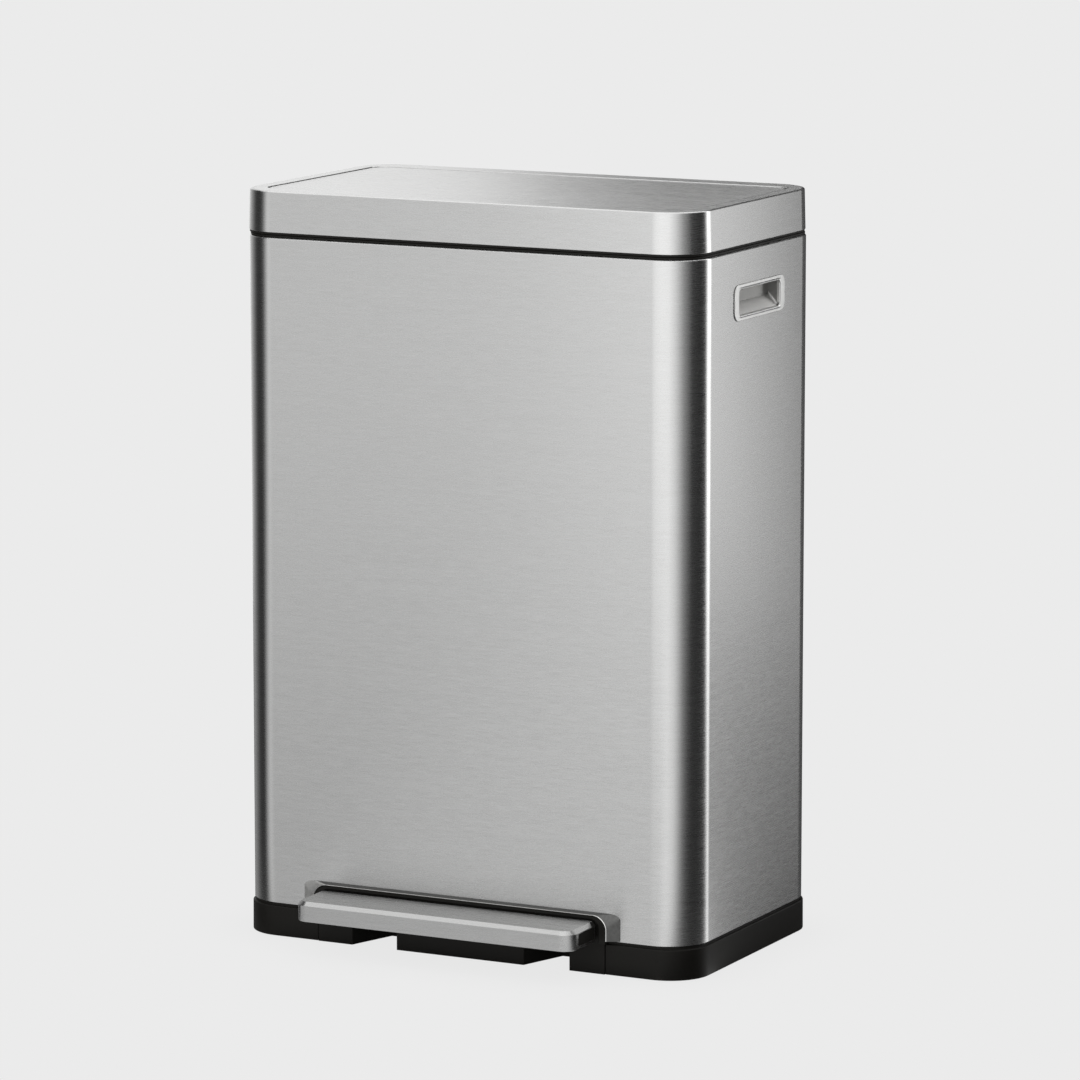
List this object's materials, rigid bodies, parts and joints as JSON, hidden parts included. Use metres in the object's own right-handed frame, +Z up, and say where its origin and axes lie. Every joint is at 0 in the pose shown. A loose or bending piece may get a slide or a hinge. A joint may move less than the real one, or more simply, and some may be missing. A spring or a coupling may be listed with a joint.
{
  "type": "pedal bin",
  "caption": "Rectangular step-on waste bin: steel body and hinged lid, full-width pedal bar, black base, recessed side handles, lift-out bucket, push rods and damper.",
  "frame": {"origin": "on the floor, at the middle of the whole footprint, pedal included", "axes": "+Z up, +X to the right seen from the pedal side, -Y towards the pedal"},
  "size_m": [0.4416, 0.3154, 0.658],
  "materials": {
    "brushed_steel": "horizontally brushed stainless steel with a satin sheen",
    "plain_steel": "plain drawn or stamped steel, zinc bright",
    "black_plastic": "satin black moulded plastic",
    "grey_plastic": "fine textured dark grey moulded plastic",
    "rubber": "matt black rubber"
  },
  "bodies": {
    "bin_body": {"body_shell": "brushed_steel", "body_rim": "black_plastic", "base_moulding": "black_plastic", "pedal_surround": "brushed_steel", "pedal_bezel": "black_plastic", "handle_cup_right": "brushed_steel", "handle_cup_left": "brushed_steel", "inner_bucket": "grey_plastic", "hinge_bracket_left": "black_plastic", "hinge_bracket_right": "black_plastic", "hinge_pin_left": "plain_steel", "hinge_pin_right": "plain_steel", "hinge_screw_left": "plain_steel", "hinge_screw_right": "plain_steel", "axle_bearing_left": "grey_plastic", "axle_bearing_right": "grey_plastic", "axle_clip_left": "plain_steel", "axle_clip_right": "plain_steel", "bearing_screw_left": "plain_steel", "bearing_screw_right": "plain_steel", "pedal_axle": "plain_steel", "rod_guide_left": "grey_plastic", "rod_guide_right": "grey_plastic", "damper_cylinder": "black_plastic", "damper_bracket_lower": "grey_plastic", "damper_bracket_upper": "grey_plastic", "foot_front_left": "rubber", "foot_front_right": "rubber", "foot_rear_left": "rubber", "foot_rear_right": "rubber"},
    "lid": {"lid_frame": "brushed_steel", "lid_panel": "brushed_steel", "lid_liner": "black_plastic", "lid_knuckle_left": "black_plastic", "lid_knuckle_right": "black_plastic", "lid_lever_left": "plain_steel", "lid_lever_right": "plain_steel", "lid_bumper_left": "rubber", "lid_bumper_right": "rubber", "liner_screw_1": "plain_steel", "liner_screw_2": "plain_steel", "liner_screw_3": "plain_steel", "liner_screw_4": "plain_steel"},
    "pedal": {"pedal_cover": "brushed_steel", "pedal_core": "black_plastic", "pedal_cap_left": "black_plastic", "pedal_cap_right": "black_plastic", "pedal_arm_left": "plain_steel", "pedal_arm_right": "plain_steel", "arm_bush_left": "grey_plastic", "arm_bush_right": "grey_plastic", "pedal_crossbar": "plain_steel"},
    "push_rods": {"push_rod_left": "plain_steel", "push_rod_right": "plain_steel", "rod_cap_left": "black_plastic", "rod_cap_right": "black_plastic", "rod_bridge": "plain_steel", "damper_rod": "plain_steel"}
  },
  "joints": [
    {"name": "lid_hinge", "type": "hinge", "parent": "bin_body", "child": "lid", "pos_m": [0, 0.14625, 0.644], "axis": [-1, 0, 0], "range_deg": [0, 80]},
    {"name": "pedal_hinge", "type": "hinge", "parent": "bin_body", "child": "pedal", "pos_m": [0, -0.03275, 0.018], "axis": [1, 0, 0], "range_deg": [0, 10.5]},
    {"name": "rod_slide", "type": "slide", "parent": "bin_body", "child": "push_rods", "axis": [0, 0, 1], "range_m": [0, 0.0276]}
  ],
  "couplings": [
    {"joint": "pedal_hinge", "follows": "lid_hinge", "ratio": 0.1312},
    {"joint": "rod_slide", "follows": "lid_hinge", "m_per_rad": 0.01976}
  ]
}
